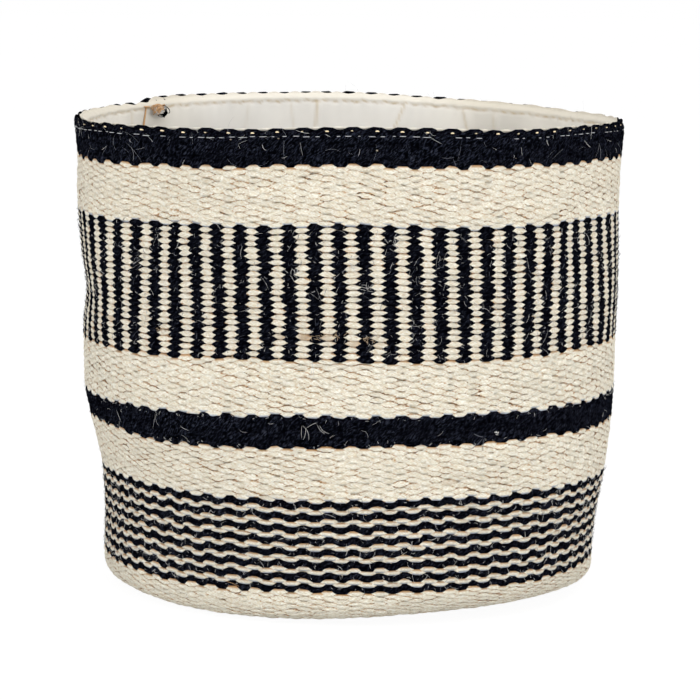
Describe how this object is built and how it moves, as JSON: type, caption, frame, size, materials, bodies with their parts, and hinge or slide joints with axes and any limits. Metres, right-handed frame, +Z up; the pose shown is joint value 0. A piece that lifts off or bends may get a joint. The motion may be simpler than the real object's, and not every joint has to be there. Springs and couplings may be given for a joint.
{
  "type": "woven storage basket",
  "caption": "Round soft basket of weft-faced woven cloth in natural and black bands, open at the top, with a cotton lining. It stands on a flat round base and holds household things.",
  "frame": {"origin": "on the floor, in the middle of the basket's box", "axes": "+Z up through the open mouth, +X to the right and -Y to the front, the side seen in the picture"},
  "size_m": [0.2802, 0.26, 0.2427],
  "materials": {
    "natural_yarn": "thick undyed jute and wool weft in cream, hairy, matt, with tan shadow between the yarns",
    "black_yarn": "thick blue-black dyed weft, hairy, matt, with pale loose fibres",
    "cotton_warp": "twisted cotton cord, matt, unbleached",
    "lining_cotton": "thin off-white plain cotton, matt, softly creased",
    "tan_thread": "tan sewing thread and yarn ends, matt"
  },
  "bodies": {
    "root": {"warp_panel_1": "cotton_warp", "warp_panel_2": "cotton_warp", "warp_panel_3": "cotton_warp", "warp_panel_4": "cotton_warp", "warp_panel_5": "cotton_warp", "warp_panel_6": "cotton_warp", "warp_panel_7": "cotton_warp", "warp_panel_8": "cotton_warp", "warp_panel_9": "cotton_warp", "warp_panel_10": "cotton_warp", "warp_panel_11": "cotton_warp", "warp_panel_12": "cotton_warp", "warp_panel_13": "cotton_warp", "warp_panel_14": "cotton_warp", "warp_panel_15": "cotton_warp", "base_panel": "natural_yarn", "foot_band": "natural_yarn", "black_line_1": "black_yarn", "natural_line_1": "natural_yarn", "black_line_2": "black_yarn", "natural_line_2": "natural_yarn", "black_line_3": "black_yarn", "natural_line_3": "natural_yarn", "black_line_4": "black_yarn", "natural_line_4": "natural_yarn", "black_line_5": "black_yarn", "natural_line_5": "natural_yarn", "black_line_6": "black_yarn", "natural_line_6": "natural_yarn", "black_line_7": "black_yarn", "natural_line_7": "natural_yarn", "black_line_8": "black_yarn", "lower_band": "natural_yarn", "waist_band": "black_yarn", "middle_band": "natural_yarn", "natural_stripes": "natural_yarn", "black_stripes": "black_yarn", "upper_band": "natural_yarn", "rim_band": "black_yarn", "lining_wall": "lining_cotton", "lining_base": "lining_cotton", "lining_seam": "tan_thread", "seam_knot": "tan_thread"}
  },
  "joints": []
}
